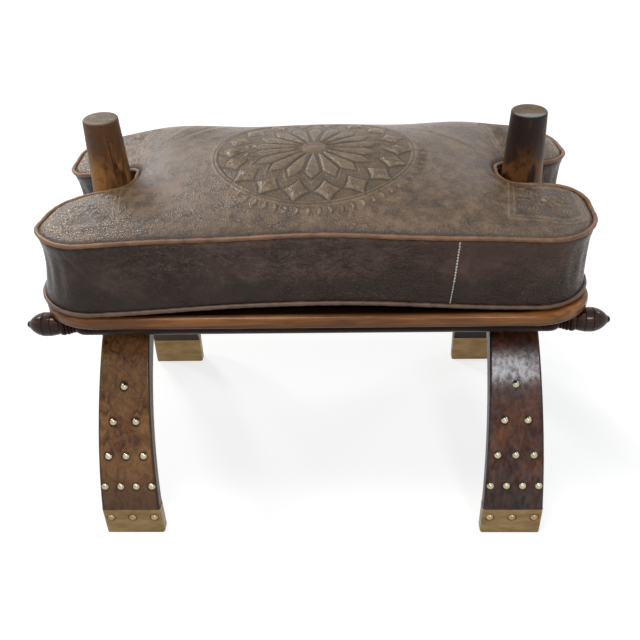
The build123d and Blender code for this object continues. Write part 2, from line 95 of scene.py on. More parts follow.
def outline(inset, spacing):
    """Points round the cushion's plan, that far inside its outer edge, the same count at any inset."""
    def parts(length):
        return max(3, int(round(length / spacing)))

    quarter_turn = math.pi / 2
    x, y = HALF_LENGTH - inset, HALF_DEPTH - inset
    corner, mouth, end = CORNER - inset, MOUTH - inset, NOTCH_END + inset
    nx, ny = NOTCH_X - inset, NOTCH_HALF + inset
    quarter = np.concatenate([
        line(0, y, x - corner, y, parts(HALF_LENGTH - CORNER)),
        arc(x - corner, y - corner, corner, 90, 0, parts(CORNER * quarter_turn)),
        line(x, y - corner, x, ny + mouth, parts(HALF_DEPTH - CORNER - NOTCH_HALF - MOUTH)),
        arc(x - mouth, ny + mouth, mouth, 0, -90, parts(MOUTH * quarter_turn)),
        line(x - mouth, ny, nx + end, ny, parts(NOTCH_DEPTH - MOUTH - NOTCH_END)),
        arc(nx + end, ny - end, end, 90, 180, parts(NOTCH_END * quarter_turn)),
        line(nx, ny - end, nx, 0, 2),
    ])
    flip = np.concatenate([quarter, [[nx, 0]]])[::-1]
    right = np.concatenate([quarter, (flip * [1, -1])[:-1]])
    left = np.concatenate([[[0, -y]], (quarter * [-1, -1])[1:], (flip * [-1, 1])[:-1]])
    return np.concatenate([right, left])


def rounded(qx, qy, radius):
    """Distance to a rectangle with round corners, measured from the centre of one of them."""
    return np.hypot(np.maximum(qx, 0), np.maximum(qy, 0)) + np.minimum(np.maximum(qx, qy), 0) - radius


def inside(x, y):
    """Distance to the cushion's outline, negative within it."""
    ax, ay = np.abs(x), np.abs(y)
    plan = rounded(ax - (HALF_LENGTH - CORNER), ay - (HALF_DEPTH - CORNER), CORNER)
    slot = rounded(NOTCH_X + NOTCH_END - ax, ay - (NOTCH_HALF - NOTCH_END), NOTCH_END)
    return (np.minimum(-MOUTH, np.maximum(plan, -slot))
            + np.hypot(np.maximum(plan + MOUTH, 0), np.maximum(MOUTH - slot, 0)))


def outward_slope(x, y):
    """How fast the distance to the outline grows along x and along y."""
    nudge = 0.05
    return ((inside(x + nudge, y) - inside(x - nudge, y)) / (2 * nudge),
            (inside(x, y + nudge) - inside(x, y - nudge)) / (2 * nudge))


def bell(v, width):
    return np.exp(-(v / width) ** 2)


def step(a, b, v):
    """0 up to a, 1 from b on, and a smooth rise between them."""
    t = np.clip((v - a) / (b - a), 0, 1)
    return t * t * (3 - 2 * t)


def ridge(d, half):
    """1 where d is zero, falling straight to 0 on both sides."""
    return np.clip(1 - np.abs(d) / half, 0, 1)


def zero(x, y):
    return np.zeros_like(x)


ARCH_HALF, ARCH_FROM = 255, 60
BACK_ARCH_SHARE = 0.5


def side_arch(x, y):
    """How far the long sides lift in the middle of their length; the back one sinks instead."""
    rise = np.where(np.abs(x) < ARCH_HALF, np.cos(np.clip(x / ARCH_HALF, -1, 1) * math.pi / 2) ** 1.5, 0)
    front, back = (np.clip((side - ARCH_FROM) / (HALF_DEPTH - ARCH_FROM), 0, 1) ** 2 for side in (-y, y))
    return rise * front - BACK_ARCH_SHARE * rise * back


def droop(x, y):
    """How far the lobes have sunk from wear: both left ones, and the back right one at its far edge."""
    back_left = SUNK_BACK_LEFT * step(-185, -272, x) * step(15, 45, y)
    front_left = SUNK_FRONT_LEFT * step(-225, -288, x) * bell(y + 48, 44)
    back_right = SUNK_BACK_RIGHT * step(180, 235, x) * step(55, 120, y)
    return back_left + front_left + back_right


HIGH_ARCH, LOW_ARCH = 9.5, 8.5
NOTCH_LIFT, TIP_DROP = 5.5, 3.5
HIGH_WAVE, LOW_WAVE = 0.9, 0.6


def seam_high(x, y):
    notch = bell(np.abs(x) - NOTCH_X, 34) * bell(y, 30)
    tip = bell(np.abs(x) - HALF_LENGTH, 30) * bell(np.abs(y) - 82, 34)
    wave = HIGH_WAVE * np.sin(x / 31 + 1.2) * np.clip((np.abs(y) - 100) / 50, 0, 1)
    return (SEAM_HIGH + HIGH_ARCH * side_arch(x, y) + NOTCH_LIFT * notch - TIP_DROP * tip + wave
            - droop(x, y))


def seam_low(x, y):
    return SEAM_LOW + LOW_ARCH * np.maximum(side_arch(x, y), 0) + LOW_WAVE * np.sin(x / 40 + 0.4)


# Height field of the crown, relaxed on finer and finer grids

GRID_LENGTH, GRID_DEPTH = 2 * HALF_LENGTH + 6, 2 * HALF_DEPTH + 10
FINE_CELL = 1.25
CELLS_AND_STEPS = ((10.0, 900), (5.0, 700), (2.5, 500), (FINE_CELL, 120))


def grid(cell):
    nx, ny = int(round(GRID_LENGTH / cell)), int(round(GRID_DEPTH / cell))
    xs = (np.arange(nx + 1) - nx / 2) * cell
    ys = (np.arange(ny + 1) - ny / 2) * cell
    return np.meshgrid(xs, ys, indexing="ij")


def sample(field, cell, x, y):
    """The field's values at some places, blended between the grid's points."""
    nx, ny = field.shape
    u = np.clip(x / cell + (nx - 1) / 2, 0, nx - 1.001)
    v = np.clip(y / cell + (ny - 1) / 2, 0, ny - 1.001)
    i, j = u.astype(int), v.astype(int)
    fu, fv = u - i, v - j
    return ((field[i, j] * (1 - fu) + field[i + 1, j] * fu) * (1 - fv)
            + (field[i, j + 1] * (1 - fu) + field[i + 1, j + 1] * fu) * fv)


def relax(cell, start, fixed, pressure, steps):
    """Move each free point towards the mean of its neighbours, again and again."""
    field = start.copy()
    for _ in range(steps):
        new = field.copy()
        new[1:-1, 1:-1] = 0.25 * (field[2:, 1:-1] + field[:-2, 1:-1] + field[1:-1, 2:] + field[1:-1, :-2]
                                  + pressure * cell * cell)
        new[fixed] = start[fixed]
        field = new
    return field


def stretched(boundary, pressure):
    """A skin held at the cushion's outline and pressed up from below, on the finest grid."""
    field, last = None, None
    for cell, steps in CELLS_AND_STEPS:
        x, y = grid(cell)
        edge = boundary(x, y)
        start = edge.copy() if field is None else sample(field, last, x, y)
        fixed = inside(x, y) > -0.3 * cell
        start[fixed] = edge[fixed]
        field, last = relax(cell, start, fixed, pressure, steps), cell
    return field


seam_field = stretched(seam_high, 0.0)
middle_height = seam_field[seam_field.shape[0] // 2, seam_field.shape[1] // 2]
swell = stretched(zero, 1.0)
swell = (np.maximum(swell, 0) / swell.max()) ** 0.75

ORNAMENT_ROOM = 1.6
SAG, PUFF, SEAM_DIP, PULL = 0.8, 3.4, 1.3, 1.3

# Folds that run from the notches over the crown: share of the height, start, end and width
PULLS = (
    (1.0, -192, 34, -112, 112, 5.5),
    (0.8, -186, 14, -108, 66, 5),
    (0.7, -196, 58, -150, 128, 5),
    (0.6, 190, 30, 128, 84, 5),
    (-0.7, -188, 48, -118, 128, 5),
)


def crease(x, y, x0, y0, x1, y1, width):
    """A soft fold from one place to another, fading at both ends."""
    lx, ly = x1 - x0, y1 - y0
    length = math.hypot(lx, ly)
    along = ((x - x0) * lx + (y - y0) * ly) / length
    across = ((x - x0) * -ly + (y - y0) * lx) / length
    return bell(across, width) * step(-5, length * 0.35, along) * step(length + 5, length * 0.65, along)


def crown(x, y):
    """Height of the crown's skin, without its ornament."""
    full = sample(swell, FINE_CELL, x, y)
    sag = SAG * np.sin(x / 47 + y / 61) * np.sin(y / 39 - x / 83)
    depth = np.maximum(-inside(x, y), 0)
    puff = PUFF * (1 - np.exp(-depth / 6)) * step(50, 130, y) * (1 - 0.95 * step(180, 80, np.abs(x)))
    dip = SEAM_DIP * bell(depth - 1.8, 1.8)
    pull = sum(share * crease(x, y, *places) for share, *places in PULLS)
    return (sample(seam_field, FINE_CELL, x, y) + (CREST - ORNAMENT_ROOM - middle_height) * full
            + sag * np.minimum(1, full * 3) + puff - dip + PULL * pull)


# Embossed ornament of the crown: each part gives its height, where it is paler from wear and painted
# highlight, and where painted shade darkens its grooves and hollows

RING = 115.0
PETALS = 18
PETAL_WIDEST, PETAL_TIP, PETAL_GAP = 60, 75, 1.9
STAR_PLACE, STAR_HALF_WIDTH, STAR_HALF_LENGTH, STAR_CURVE = 95, 15.0, 18.6, 0.76
CRESCENTS, CRESCENT_OUT, CRESCENT_RADIUS, CRESCENT_SHIFT = 66, 10, 4.6, 2.6
DOTS_ROUND, DOTS_OUTWARD = 198, 1.9


def sector(turn, count):
    """The angle from the middle of the nearest of that many equal sectors."""
    pitch = 2 * math.pi / count
    return (turn + pitch / 2) % pitch - pitch / 2


def petals(r, turn):
    angle = sector(turn, PETALS)
    across, along = np.abs(r * np.sin(angle)), r * np.cos(angle)
    slope = math.tan(math.pi / PETALS)
    shoulder, point = PETAL_WIDEST * slope - PETAL_GAP, PETAL_TIP - PETAL_WIDEST
    half = np.where(along < PETAL_WIDEST, along * slope - PETAL_GAP, shoulder * (PETAL_TIP - along) / point)
    edge = (half - across) * np.where(along < PETAL_WIDEST, 1.0, point / math.hypot(point, shoulder))
    clear_of_hub = step(14, 20, r)
    body = step(0, 1.6, edge) * step(8, 16, r) * (0.92 + 0.3 * np.clip(edge / 7, 0, 1))
    rib = ridge(across - along * slope, 1.0) * step(12, 18, along) * step(64, 60, along)
    rib = np.maximum(rib, ridge(edge + 3.0, 1.1) * step(56, 62, along))
    # Paler rims and ribs are wear with painted highlight; a line of painted shade runs just outside each
    # petal.
    rub = 0.5 * ridge(edge - 1.6, 1.8) * clear_of_hub + 0.4 * rib
    return 1.9 * body + 1.0 * rib, rub, 0.9 * ridge(edge + 1.1, 1.3) * clear_of_hub


def stars(r, turn):
    """The ring of four-pointed stars on a ground of fine dots."""
    angle = sector(turn - math.pi / PETALS, PETALS)
    across, along = np.abs(r * np.sin(angle)), np.abs(r * np.cos(angle) - STAR_PLACE)
    size = (across / STAR_HALF_WIDTH) ** STAR_CURVE + (along / STAR_HALF_LENGTH) ** STAR_CURVE
    body = np.clip(1.0 - size, 0, 1)
    body = np.minimum(body * 4.2, 1) * (0.85 + 0.5 * body)
    ground = step(RING - 3, RING - 8, r) * step(60, 76, r)
    grain = 0.5 + 0.5 * np.sin(turn * DOTS_ROUND) * np.sin(r * DOTS_OUTWARD)
    dots = ground * (1 - np.clip(body * 3, 0, 1)) * grain
    # Painted shade round each star and in the ground between the dots.
    hollow_shade = np.maximum(ridge(size - 1.12, 0.15), 0.75 * ground * (size > 1) * np.clip(0.9 - 1.6 * dots, 0, 1))
    return 3.1 * body + 0.8 * dots, 0.8 * ridge(size - 0.84, 0.18) + 0.35 * dots, hollow_shade


def rings(r):
    pair = np.maximum(ridge(r - (RING - 2.4), 1.5), ridge(r - (RING + 2.0), 1.5))
    return 1.0 * pair, 0.5 * pair, 0.8 * ridge(r - (RING - 0.2), 1.3)


def crescents(r, turn, x, y):
    """Small crescents outside the ring, which wear has left only at the front and the right."""
    angle = sector(turn, CRESCENTS)
    across, along = r * np.sin(angle), r * np.cos(angle) - (RING + CRESCENT_OUT)
    reach = np.hypot(across + CRESCENT_SHIFT, along)
    kept = step(-0.4, 1.2, across) * step(-100, -58, x) * step(10, -45, y - 0.25 * x)
    body = ridge(reach - CRESCENT_RADIUS, 1.5) * kept
    return 1.7 * body, 0.9 * body, 0.9 * ridge(reach - CRESCENT_RADIUS - 2, 1.2) * kept


def medallion(x, y):
    r = np.hypot(x, y) + 1e-6
    turn = np.arctan2(y, x) + math.pi / PETALS
    parts = petals(r, turn), stars(r, turn), rings(r), crescents(r, turn, x, y)
    hub = 0.8 * (step(9, 5, r) * 0.8 + ridge(r - 11, 1.5) * 0.6)
    sunken = ((r < RING - 3) & (r > 14)) * step(8, 20, r) * step(RING - 2, RING - 5, r)
    flattened = 1 - 0.5 * step(-10, 50, y)
    height = (sum(part[0] for part in parts) + hub - 0.9 * sunken) * flattened
    return height, np.clip(sum(part[1] for part in parts), 0, 1), np.max([part[2] for part in parts], axis=0)


PANEL_X, PANEL_Y, PANEL_HALF_X, PANEL_HALF_Y = 249, 84, 44.0, 41.0
PANEL_LEAN = 14
PANEL_CORNER_X, PANEL_CORNER_Y, PANEL_CORNER = 262, 92, 33
BEADS = 1.9
SCROLLS = ((-20, -17, 1), (20, -15, -1), (-19, 18, -1), (17, 17, 1))
SCROLL_PITCH, SCROLL_RADIUS = 3.6, 12.5


def panels(x, y):
    """Bordered scroll panels stamped on the four corner lobes."""
    ax, ay = np.abs(x), np.abs(y)
    u, v = ax - PANEL_X, ay - PANEL_Y
    lean = PANEL_LEAN * np.clip((PANEL_Y + PANEL_HALF_Y - ay) / 90, 0, 1)
    box = np.maximum(np.where(u < 0, -u - PANEL_HALF_X + lean, u - PANEL_HALF_X), np.abs(v) - PANEL_HALF_Y)
    corner = np.hypot(np.maximum(ax - PANEL_CORNER_X, 0), np.maximum(ay - PANEL_CORNER_Y, 0)) - PANEL_CORNER
    edge = np.maximum(box, np.where((ax > PANEL_CORNER_X) & (ay > PANEL_CORNER_Y), corner, -99))
    beads = 0.5 + 0.5 * np.sin(ax * BEADS) * np.sin(ay * BEADS)
    lines = np.maximum(ridge(edge, 1.3), 0.8 * ridge(edge + 5.5, 1.2))
    lines = np.maximum(lines, 0.5 * ridge(edge + 2.8, 0.9) * beads)
    body = step(-7, -10, edge)
    r = np.hypot(u, v)
    flower = ridge(r - (9 + 3.0 * np.cos(6 * np.arctan2(v, u))), 1.6) + step(4, 2.5, r)
    scroll = np.zeros_like(x)
    for cx, cy, hand in SCROLLS:
        du, dv = u - cx, v - cy
        out, turn = np.hypot(du, dv), np.arctan2(dv, du) * hand
        spiral = (out / SCROLL_PITCH - turn / (2 * math.pi)) % 1.0
        scroll = np.maximum(scroll, ridge(spiral - 0.5, 0.26) * step(SCROLL_RADIUS, SCROLL_RADIUS - 1.5, out))
    leaf = ridge(np.abs(v) - 6.5 - 3 * np.cos(u / 6.5), 1.3) * (np.abs(u) > 12) * (np.abs(u) < 30)
    motif = np.clip(flower + scroll + leaf, 0, 1) * body
    height = 0.85 * lines + 0.75 * motif - 0.35 * body * (1 - motif)
    return height, np.clip(0.75 * lines + 0.6 * motif, 0, 1), 0.5 * np.clip(-height / 0.5, 0, 1)


def emboss(x, y):
    near, lobe = np.hypot(x, y) < RING + 18, np.abs(x) > NOTCH_X - 9
    return [np.where(near, round_part, 0) + np.where(lobe, panel_part, 0)
            for round_part, panel_part in zip(medallion(x, y), panels(x, y))]


# Mesh helpers

def mesh_object(name, points, faces, attributes=None, smooth=True):
    mesh = bpy.data.meshes.new(name)
    points = np.asarray(points, np.float64) * MM
    faces = np.asarray(faces, np.int32)
    mesh.vertices.add(len(points))
    mesh.vertices.foreach_set("co", points.ravel().astype(np.float32))
    mesh.loops.add(faces.size)
    mesh.loops.foreach_set("vertex_index", faces.ravel())
    mesh.polygons.add(len(faces))
    mesh.polygons.foreach_set("loop_start", np.arange(len(faces), dtype=np.int32) * faces.shape[1])
    mesh.polygons.foreach_set("use_smooth", np.full(len(faces), smooth))
    for key, values in (attributes or {}).items():
        mesh.attributes.new(key, "FLOAT", "POINT").data.foreach_set("value", np.asarray(values, np.float32))
    mesh.update(calc_edges=True)
    mesh.validate()
    obj = bpy.data.objects.new(name, mesh)
    bpy.context.scene.collection.objects.link(obj)
    return obj


def quads(rows, cols):
    """Faces of a grid of points, row by row, with each row joined to itself as a ring."""
    i, j = np.arange(rows - 1)[:, None] * cols, np.arange(cols)[None, :]
    k = (j + 1) % cols
    return np.stack([i + j, i + k, i + cols + k, i + cols + j], -1).reshape(-1, 4)


def tube(path, radii, sides, closed=False):
    """Points and faces of a round tube along a path in millimetres."""
    path = np.asarray(path, float)
    ahead = np.roll(path, -1, 0) - np.roll(path, 1, 0)
    if not closed:
        ahead[0], ahead[-1] = path[1] - path[0], path[-1] - path[-2]
    ahead /= np.linalg.norm(ahead, axis=1)[:, None]
    upright = abs(ahead[:, UP]).max() > 0.9
    across = np.cross(ahead, (0, 1.0, 0) if upright else (0, 0, 1.0))
    across /= np.linalg.norm(across, axis=1)[:, None]
    lift = np.cross(across, ahead)
    a = np.linspace(0, 2 * math.pi, sides, endpoint=False)
    ring = across[:, None] * np.cos(a)[None, :, None] + lift[:, None] * np.sin(a)[None, :, None]
    points = (path[:, None] + ring * np.broadcast_to(radii, len(path))[:, None, None]).reshape(-1, 3)
    faces = quads(len(path), sides)
    if closed:
        last, j = (len(path) - 1) * sides, np.arange(sides)
        k = (j + 1) % sides
        faces = np.concatenate([faces, np.stack([last + j, last + k, k, j], -1)])
    return points, faces


def settle(points):
    """The back left lobe has spread a little outwards."""
    points = np.asarray(points, float).copy()
    points[:, ACROSS] -= SPREAD_OUT * step(-225, -300, points[:, ACROSS]) * step(15, 60, points[:, DEEP])
    return points


def plan_object(name, cell, height, marks, pull_in=None):
    """A grid over the cushion's plan, trimmed to its outline, with its height and marks as functions."""
    x, y = grid(cell)
    d = inside(x, y)
    keep = d < 0
    i, j = np.nonzero(keep[:-1, :-1] | keep[1:, :-1] | keep[:-1, 1:] | keep[1:, 1:])
    cols = x.shape[1]
    base = i * cols + j
    faces = np.stack([base, base + cols, base + cols + 1, base + 1], -1)
    x, y, d = x.ravel(), y.ravel(), d.ravel()
    for _ in range(3):
        gx, gy = outward_slope(x, y)
        norm = np.maximum(gx * gx + gy * gy, 0.25)
        x, y = np.where(d > 0, x - gx * d / norm, x), np.where(d > 0, y - gy * d / norm, y)
        d = inside(x, y)
    used = np.unique(faces)
    index = np.zeros(len(x), int)
    index[used] = np.arange(len(used))
    x, y = x[used], y[used]
    z, attributes = height(x, y), marks(x, y)
    if pull_in is not None:
        gx, gy = outward_slope(x, y)
        reach = pull_in(x, y)
        x, y = x - gx * reach, y - gy * reach
    return mesh_object(name, settle(np.stack([x, y, z], 1)), index[faces], attributes)


# Side band of the cushion

BAND_ROWS, BAND_SPACING = 57, 1.6
BAND_BULGE, END_GATHER, END_FROM = 1.6, 1.2, 262
FRONT, BACK = -1, 1

# Creases: side, place along it, share of the height, angle, half length, half width and depth
FOLDS = (
    (FRONT, 30, 0.58, 0.5, 26, 2.2, 1.5),
    (FRONT, 30, 0.58, -0.7, 24, 2.0, 1.4),
    (FRONT, 34, 0.55, 1.5, 16, 2.0, 1.2),
    (FRONT, 22, 0.6, 2.5, 16, 2.0, 1.0),
    (FRONT, -60, 0.78, 0.06, 46, 3.0, 1.3),
    (FRONT, -128, 0.62, -0.2, 40, 2.6, 1.2),
    (FRONT, -95, 0.45, 0.12, 30, 3.0, 0.9),
    (FRONT, -190, 0.7, 0.3, 26, 3.0, 1.2),
    (FRONT, 110, 0.75, 0.1, 36, 3.0, 1.0),
    (FRONT, 205, 0.6, -0.3, 30, 3.0, 1.1),
    (FRONT, 246, 0.55, 0.9, 24, 2.4, 1.2),
    (FRONT, -240, 0.5, -0.9, 26, 2.4, 1.2),
    (BACK, -140, 0.6, 0.2, 40, 2.6, 1.2),
    (BACK, -20, 0.7, -0.1, 46, 3.0, 1.2),
    (BACK, 90, 0.5, 0.4, 30, 2.6, 1.1),
    (BACK, 190, 0.62, -0.3, 34, 2.6, 1.2),
)


def clear_of_notch(y):
    return step(38, 75, np.abs(y))


def foot_inset(x, y):
    """How far the lower seam lies inside the outline, negative where it spreads over the board."""
    left = step(-60, -230, x) * np.clip(-y / 60, 0, 1)
    return FOOT_INSET - (FOOT_SPREAD + FOOT_SPREAD_LEFT * left) * clear_of_notch(y)


def draw_in(t, x, y):
    """How far the side stands inside the outline, from the lower seam at 0 to the upper at 1."""
    waist = 5.0 - 3.8 * clear_of_notch(y)
    return (foot_inset(x, y) * (1 - t) ** 1.3 + waist * np.sin(math.pi * t)
            + np.interp(t, [0.78, 0.92, 1.0], [0, -1.5, 1.3]))


def fold(x, t, centre, rise, angle, length, width, depth):
    """One crease on the side band, at a place along it and a share of its height."""
    du, dv = x - centre, (t - rise) * (SEAM_HIGH - SEAM_LOW)
    c, s = math.cos(angle), math.sin(angle)
    along, across = du * c + dv * s, -du * s + dv * c
    return -depth * bell(along, length) * (bell(across, width) - 0.6 * bell(across - 2.2 * width, width))


def inward_rim(spacing):
    """Points of the outline and, at each, the direction that leads into the cushion."""
    rim, deeper = outline(0, spacing), outline(1, spacing)
    along = np.roll(rim, -1, 0) - np.roll(rim, 1, 0)
    along /= np.linalg.norm(along, axis=1)[:, None]
    normal = np.stack([-along[:, 1], along[:, 0]], 1)
    return rim, normal * (1.0 if float((normal * (deeper - rim)).sum()) > 0 else -1.0)


def side_band():
    rim, normal = inward_rim(BAND_SPACING)
    x, y = rim[:, 0], rim[:, 1]
    length = np.concatenate([[0], np.cumsum(np.linalg.norm(np.diff(rim, axis=0), axis=1))])
    low, high = seam_low(x, y), seam_high(x, y)
    at_end = np.abs(x) > END_FROM
    points, rub, shade = [], [], []
    for t in np.linspace(0, 1, BAND_ROWS):
        belly = math.sin(math.pi * t)
        offset = draw_in(t, x, y) - BAND_BULGE * belly * np.sin(length / 37.0 + 0.8) * np.sin(length / 91.0)
        for side, *crease_sizes in FOLDS:
            there = np.where(np.sign(y) == side, 1, 0) * step(100, 130, np.abs(y))
            offset = offset - there * fold(x, t, *crease_sizes)
        offset = offset + END_GATHER * belly * at_end * np.sin(length / 6.5) ** 2 * bell(t - 0.5, 0.35)
        points.append(np.column_stack([rim + normal * offset[:, None], low + (high - low) * t]))
        # Painted shade in the creases along both seams, and a painted highlight, with wear, along the roll
        # under the upper piping.
        shade.append(np.full(len(rim), np.clip(1 - t / 0.07, 0, 1) + np.clip((t - 0.955) / 0.03, 0, 1)))
        rub.append(np.full(len(rim), 0.25 * bell(t - 0.925, 0.025)))
    return mesh_object("cushion_side_leather", settle(np.concatenate(points)),
                       quads(BAND_ROWS, len(rim))[:, ::-1],
                       {"rub": np.concatenate(rub), "shade": np.concatenate(shade)})


# Crown, sole, piping and stitches of the cushion

PLAIN_RIM = 3
SOLE_CELL, SOLE_SHADE = 4.0, 0.4
PIPING_SPACING, PIPING_SIDES = 2.0, 14
STITCH_X, STITCH_THICK, THREAD_THICK = 153.0, 1.1, 0.6
STITCH_TOP_SHARE, STITCH_TURN_SHARE, STITCH_END_SHARE = 0.95, 0.34, 0.03
STITCHES, THREAD_LOOPS = 14, 8
STITCH_POINTS, STITCH_SIDES, STITCH_LEAN = 7, 8, 0.6


def crown_height(x, y):
    return crown(x, y) + np.where(inside(x, y) < -PLAIN_RIM, emboss(x, y)[0], 0)


def crown_marks(x, y):
    # Paler marks are wear with painted highlight; the shade is painted: in the crease along the seam, in the
    # emboss's hollows and in its grooves.
    height, rub, hollow_shade = emboss(x, y)
    d = inside(x, y)
    seam = 0.5 * np.clip(1 + d / 9, 0, 1) + np.clip(1.3 + d / 3.4, 0, 1)
    return {"rub": rub, "shade": seam + np.clip(-height / 0.9, 0, 1) * 0.45 + hollow_shade}


def sole_height(x, y):
    return SOLE + (seam_low(x, y) - SOLE) * np.exp(-np.maximum(-inside(x, y) - 6, 0) / 9)


# The sole is given painted shade all over, lying underneath.
def sole_marks(x, y):
    return {"rub": zero(x, y), "shade": np.full_like(x, SOLE_SHADE)}


def sole_pull(x, y):
    return foot_inset(x, y) * np.exp(np.minimum(inside(x, y), 0) / 12)


def piping(name, inset, height):
    """A slightly uneven cord along one of the two seams."""
    rim, normal = inward_rim(PIPING_SPACING)
    x, y = rim[:, 0], rim[:, 1]
    path = np.column_stack([rim + normal * (inset(x, y) - PIPING_OUT)[:, None], height(x, y)])
    count = np.arange(len(rim))
    wobble = 0.12 * np.sin(count * 0.9) + 0.1 * np.sin(count * 0.37)
    points, faces = tube(path, PIPING + wobble, PIPING_SIDES, closed=True)
    return mesh_object(name, settle(points), faces)


def stitches():
    """Thick stitches down the front band, then a thin run of thread to the lower seam."""
    upper = np.linspace(STITCH_TOP_SHARE, STITCH_TURN_SHARE, STITCHES + 1)
    lower = np.linspace(STITCH_TURN_SHARE, STITCH_END_SHARE, THREAD_LOOPS + 1)
    leans = [STITCH_LEAN if k % 2 else -STITCH_LEAN for k in range(STITCHES)]
    runs = [(upper[k], upper[k + 1] + 0.012, lean, STITCH_THICK) for k, lean in enumerate(leans)]
    runs += [(lower[k], lower[k + 1] + 0.006, 0.0, THREAD_THICK) for k in range(THREAD_LOOPS)]
    taper = np.sin(np.linspace(0.6, math.pi - 0.6, STITCH_POINTS))
    points, faces, count = [], [], 0
    for start, end, lean, thick in runs:
        path = []
        for q in np.linspace(0, 1, STITCH_POINTS):
            t = start + (end - start) * q
            x = STITCH_X - 1.5 * (1 - t) - 4.5 * (1 - t) ** 2 + lean * (q - 0.5)
            low, high = seam_low(x, -HALF_DEPTH), seam_high(x, -HALF_DEPTH)
            out = 0.7 + 0.5 * math.sin(math.pi * q)
            path.append([x, -HALF_DEPTH + float(draw_in(t, x, -HALF_DEPTH)) - out, low + (high - low) * t])
        ring_points, ring_faces = tube(path, thick * taper, STITCH_SIDES)
        points.append(ring_points)
        faces.append(ring_faces + count)
        count += len(ring_points)
    return mesh_object("side_seam_stitches", np.concatenate(points), np.concatenate(faces))


band = side_band()
crown_top = plan_object("cushion_top_leather", FINE_CELL, crown_height, crown_marks)
sole = plan_object("cushion_bottom_leather", SOLE_CELL, sole_height, sole_marks, sole_pull)
pipe_high = piping("top_piping_cord", zero, seam_high)
pipe_low = piping("bottom_piping_cord", foot_inset, seam_low)
thread = stitches()


# Material helpers

def feed(tree, socket, value):
    """Give a socket a fixed value, or the link that leads to it."""
    if isinstance(value, bpy.types.NodeSocket):
        tree.links.new(value, socket)
    else:
        socket.default_value = value


def node(tree, kind, inputs=None, **settings):
    made = tree.nodes.new(kind)
    for key, value in settings.items():
        setattr(made, key, value)
    for key, value in (inputs or {}).items():
        feed(tree, made.inputs[key], value)
    return made


def rgb(*levels):
    """A colour given as it looks on screen, 0 to 255, as linear light."""
    shown = [level / 255 for level in levels]
    return tuple(v / 12.92 if v <= 0.04045 else ((v + 0.055) / 1.055) ** 2.4 for v in shown) + (1.0,)


class Shader:
    """A material with a principled shader, and short names for the nodes that feed it, in metres."""

    def __init__(self, name, **fixed):
        self.material = bpy.data.materials.new(name)
        self.material.use_nodes = True
        self.tree = self.material.node_tree
        self.tree.nodes.clear()
        self.bsdf = node(self.tree, "ShaderNodeBsdfPrincipled")
        node(self.tree, "ShaderNodeOutputMaterial", {0: self.bsdf.outputs[0]})
        for key, value in fixed.items():
            self.bsdf.inputs[key.replace("_", " ")].default_value = value
        self.place = node(self.tree, "ShaderNodeTexCoord").outputs["Object"]

    def set(self, key, value):
        self.tree.links.new(value, self.bsdf.inputs[key])

    def stretch(self, scale, rotation=(0, 0, 0), offset=(0, 0, 0)):
        inputs = {"Vector": self.place, "Scale": scale, "Rotation": rotation, "Location": offset}
        return node(self.tree, "ShaderNodeMapping", inputs).outputs[0]

    def noise(self, scale, detail=4, rough=0.55, at=None, warp=0.0):
        return node(self.tree, "ShaderNodeTexNoise",
                    {"Vector": at or self.place, "Scale": scale, "Detail": detail, "Roughness": rough,
                     "Distortion": warp}).outputs["Fac"]

    def cells(self, scale):
        inputs = {"Vector": self.place, "Scale": scale}
        return node(self.tree, "ShaderNodeTexVoronoi", inputs).outputs["Distance"]

    def attribute(self, name):
        return node(self.tree, "ShaderNodeAttribute", attribute_name=name).outputs["Fac"]

    def ramp(self, fac, *stops):
        made = node(self.tree, "ShaderNodeValToRGB", {"Fac": fac})
        first, last = made.color_ramp.elements
        first.position, first.color = stops[0]
        last.position, last.color = stops[-1]
        for position, colour in stops[1:-1]:
            made.color_ramp.elements.new(position).color = colour
        return made.outputs["Color"]

    def span(self, fac, a, b, c=0.0, d=1.0, smooth=False):
        """The value that goes from c to d while another goes from a to b."""
        return node(self.tree, "ShaderNodeMapRange",
                    {"Value": fac, "From Min": a, "From Max": b, "To Min": c, "To Max": d},
                    interpolation_type="SMOOTHSTEP" if smooth else "LINEAR").outputs[0]

    def mix(self, fac, a, b):
        return node(self.tree, "ShaderNodeMix", {0: fac, 6: a, 7: b}, data_type="RGBA").outputs[2]

    def calc(self, kind, a, b=0.0, clamp=False):
        return node(self.tree, "ShaderNodeMath", {0: a, 1: b}, operation=kind, use_clamp=clamp).outputs[0]

    def vector(self, kind, a, b=(0, 0, 0), output="Vector"):
        return node(self.tree, "ShaderNodeVectorMath", {0: a, 1: b}, operation=kind).outputs[output]

    def blend(self, a, b, share):
        """Two values, the first with that share."""
        return self.calc("ADD", self.calc("MULTIPLY", a, share), self.calc("MULTIPLY", b, 1 - share))

    def off_middle(self, noise):
        """How far a noise is from its middle."""
        return self.calc("ABSOLUTE", self.calc("SUBTRACT", noise, 0.5))

    def axis(self, name):
        return node(self.tree, "ShaderNodeSeparateXYZ", {0: self.place}).outputs[name]

    def facing(self, name):
        normal = node(self.tree, "ShaderNodeTexCoord").outputs["Normal"]
        return node(self.tree, "ShaderNodeSeparateXYZ", {0: normal}).outputs[name]

    def outward(self):
        """How far a surface faces away from the middle, front to back."""
        return self.calc("MULTIPLY", self.facing("Y"), self.calc("SIGN", self.axis("Y")))

    def nearest(self, marks):
        """Distance to the nearest of some places on a leg's outer face, given across and up in metres."""
        face = self.vector("ABSOLUTE", self.stretch((1, 0, 1)))
        best = None
        for across, up in marks:
            far = self.vector("DISTANCE", face, (LEG_X * MM + across, 0, up), "Value")
            best = far if best is None else self.calc("MINIMUM", best, far)
        return self.calc("ADD", best, self.span(self.outward(), 0.3, 0.1))

    def bump(self, height, strength, distance, below=None):
        inputs = {"Height": height, "Strength": strength, "Distance": distance}
        if below is not None:
            inputs["Normal"] = below
        return node(self.tree, "ShaderNodeBump", inputs).outputs[0]


# Leather, with the reach of each tint in metres

